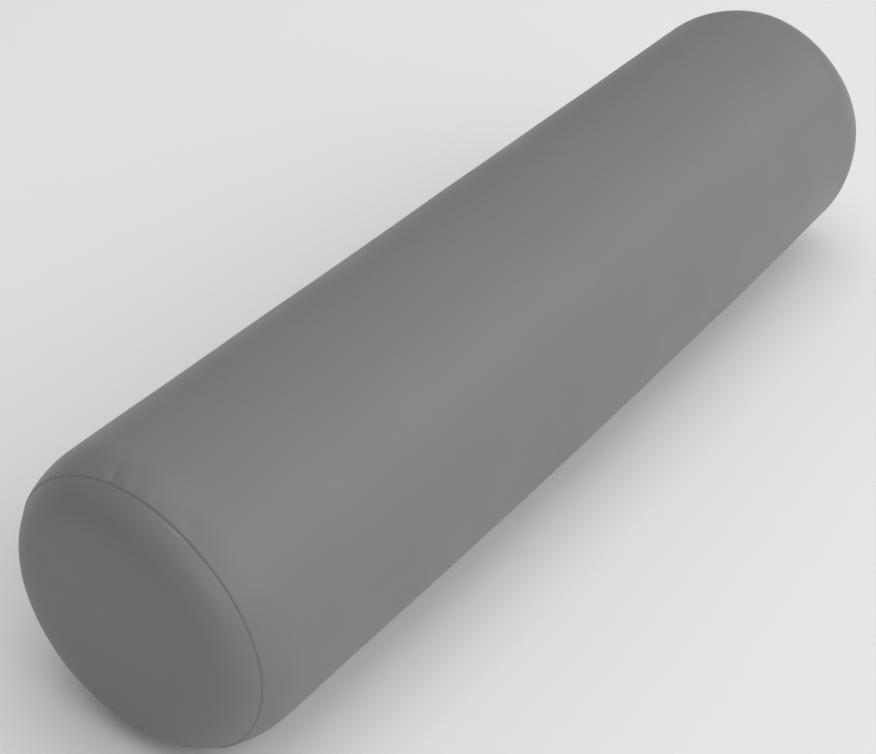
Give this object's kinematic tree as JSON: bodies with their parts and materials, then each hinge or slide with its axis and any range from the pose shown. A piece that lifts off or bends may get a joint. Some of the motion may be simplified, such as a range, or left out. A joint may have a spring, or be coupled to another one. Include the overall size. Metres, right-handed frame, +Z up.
{
  "type": "knee roll",
  "caption": "Firm round bolster that supports the knees: a foam roll in a smooth grey coated-fabric cover with flat round ends and plain turned seams.",
  "frame": {"origin": "middle of the flat strip that the roll rests on, at mid-length", "axes": "+X along the roll towards its rear end, +Z up, away from the surface that it rests on"},
  "size_m": [0.6, 0.153, 0.148],
  "materials": {
    "coated_fabric": "satin, fine grain"
  },
  "bodies": {
    "root": {"roll_body": "coated_fabric", "end_panel_front": "coated_fabric", "end_panel_rear": "coated_fabric"}
  },
  "joints": []
}
